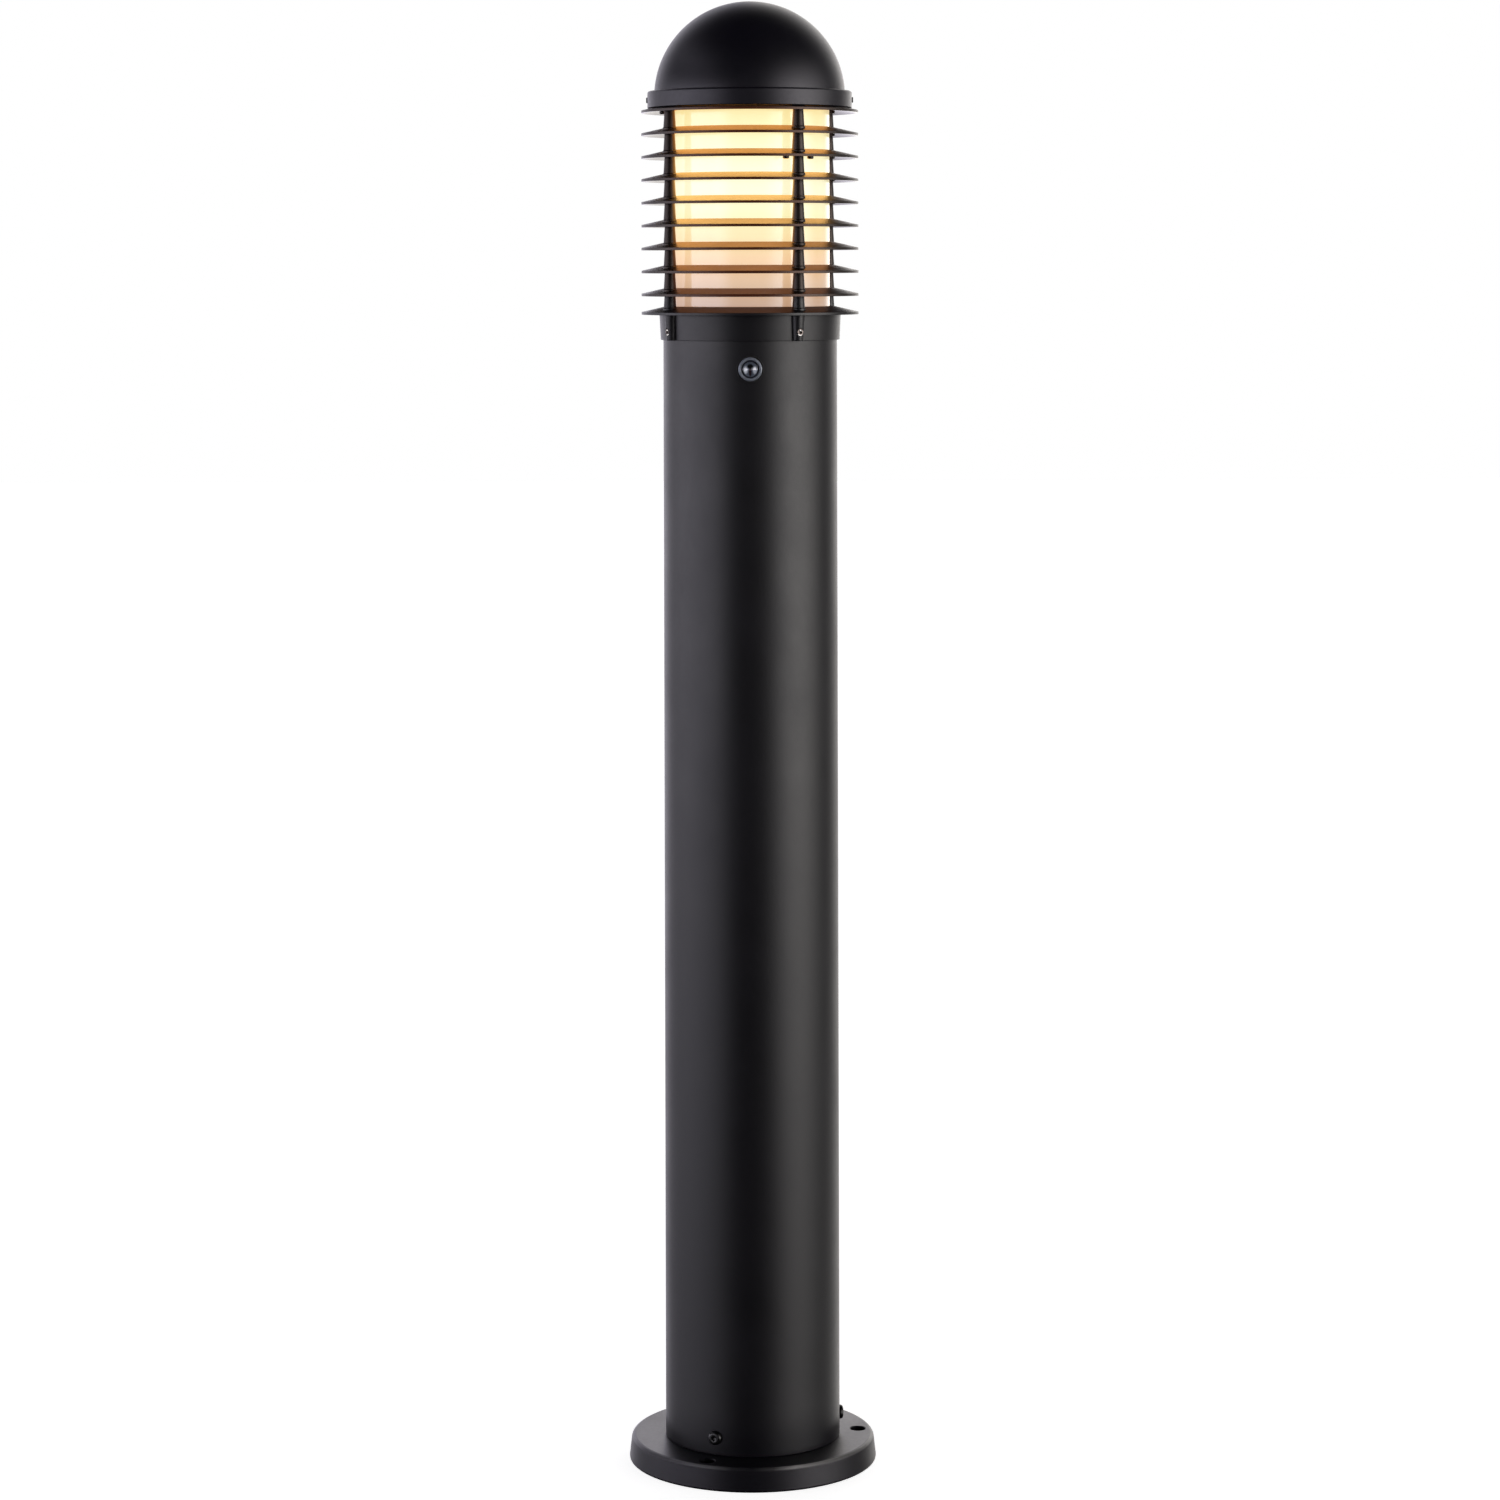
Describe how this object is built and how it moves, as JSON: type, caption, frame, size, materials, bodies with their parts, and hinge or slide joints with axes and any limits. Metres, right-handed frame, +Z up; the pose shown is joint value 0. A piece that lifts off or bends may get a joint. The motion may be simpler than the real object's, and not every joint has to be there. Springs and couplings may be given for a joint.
{
  "type": "bollard light",
  "caption": "Outdoor bollard light: black round post on a bolted round base, louvred head over a frosted lit diffuser, domed cap, front dusk sensor.",
  "frame": {"origin": "centre of the base plate's underside, at ground level", "axes": "+Z up along the post; -Y is the front, where the dusk sensor is; +X is to the viewer's right"},
  "size_m": [0.17, 0.17, 1.0047],
  "materials": {
    "powder_black": "satin black powder coat, fine texture",
    "black_screw": "black oxide, satin",
    "stainless": "machined stainless steel",
    "zinc": "bright zinc plate",
    "galvanised": "galvanised sheet",
    "white_enamel": "gloss white enamel",
    "porcelain": "glazed porcelain",
    "brass": "plain brass",
    "lamp_metal": "nickel-plated cap",
    "lamp_white": "white moulded plastic",
    "lamp_opal": "opal, lit warm white",
    "diffuser_frost": "frosted polycarbonate, lit warm white",
    "gasket_black": "matte black rubber",
    "cell_bezel": "smoky clear plastic over a grey rim",
    "cell_clear": "clear glossy dome",
    "cell_dark": "dark sensor face",
    "black_plastic": "moulded black nylon",
    "cream_plastic": "moulded cream nylon",
    "lead_black": "black insulation",
    "lead_brown": "brown insulation",
    "lead_blue": "blue insulation",
    "lead_green": "green insulation with a yellow stripe"
  },
  "bodies": {
    "post": {"base_plate": "powder_black", "base_screws": "black_screw", "post_tube": "powder_black", "photocell_gasket": "gasket_black", "photocell_bezel": "cell_bezel", "photocell_lens": "cell_clear", "photocell_sensor": "cell_dark", "photocell_body": "black_plastic", "photocell_nut": "black_plastic", "photocell_leads": "lead_black", "collar": "powder_black", "collar_set_screws": "stainless", "louvre_1": "powder_black", "louvre_2": "powder_black", "louvre_3": "powder_black", "louvre_4": "powder_black", "louvre_5": "powder_black", "louvre_6": "powder_black", "louvre_7": "powder_black", "louvre_8": "powder_black", "louvre_9": "powder_black", "tie_rods": "zinc", "tie_rod_nuts": "zinc", "cap_ring": "powder_black", "lower_gasket": "gasket_black", "lamp_plate": "white_enamel", "plate_screws": "zinc", "wire_grommet": "gasket_black", "lamp_holder": "porcelain", "holder_shell": "brass", "holder_contact": "brass", "holder_screws": "zinc", "gear_bracket": "galvanised", "bracket_screws": "zinc", "terminal_block": "cream_plastic", "terminal_screws": "zinc", "terminal_fixing_screws": "zinc", "lamp_lead_live": "lead_brown", "lamp_lead_neutral": "lead_blue", "earth_lead": "lead_green", "earth_tag": "zinc", "earth_screw": "brass", "cable_clamp": "black_plastic", "clamp_screws": "zinc"},
    "cap": {"dome_cap": "powder_black", "dome_screws": "black_screw", "upper_gasket": "gasket_black"},
    "diffuser": {"diffuser": "diffuser_frost"},
    "lamp": {"lamp_cap": "lamp_metal", "lamp_body": "lamp_white", "lamp_led_board": "white_enamel", "lamp_globe": "lamp_opal"}
  },
  "joints": [
    {"name": "cap_lift", "type": "slide", "parent": "post", "child": "cap", "axis": [0, 0, 1], "range_m": [0, 0.3]},
    {"name": "diffuser_lift", "type": "slide", "parent": "post", "child": "diffuser", "axis": [0, 0, 1], "range_m": [0, 0.15]},
    {"name": "lamp_turn", "type": "hinge", "parent": "post", "child": "lamp", "pos_m": [0, 0, 0.815], "axis": [0, 0, 1], "range_deg": [0, 1080]}
  ],
  "couplings": [
    {"joint": "diffuser_lift", "follows": "cap_lift", "ratio": 0.5}
  ]
}
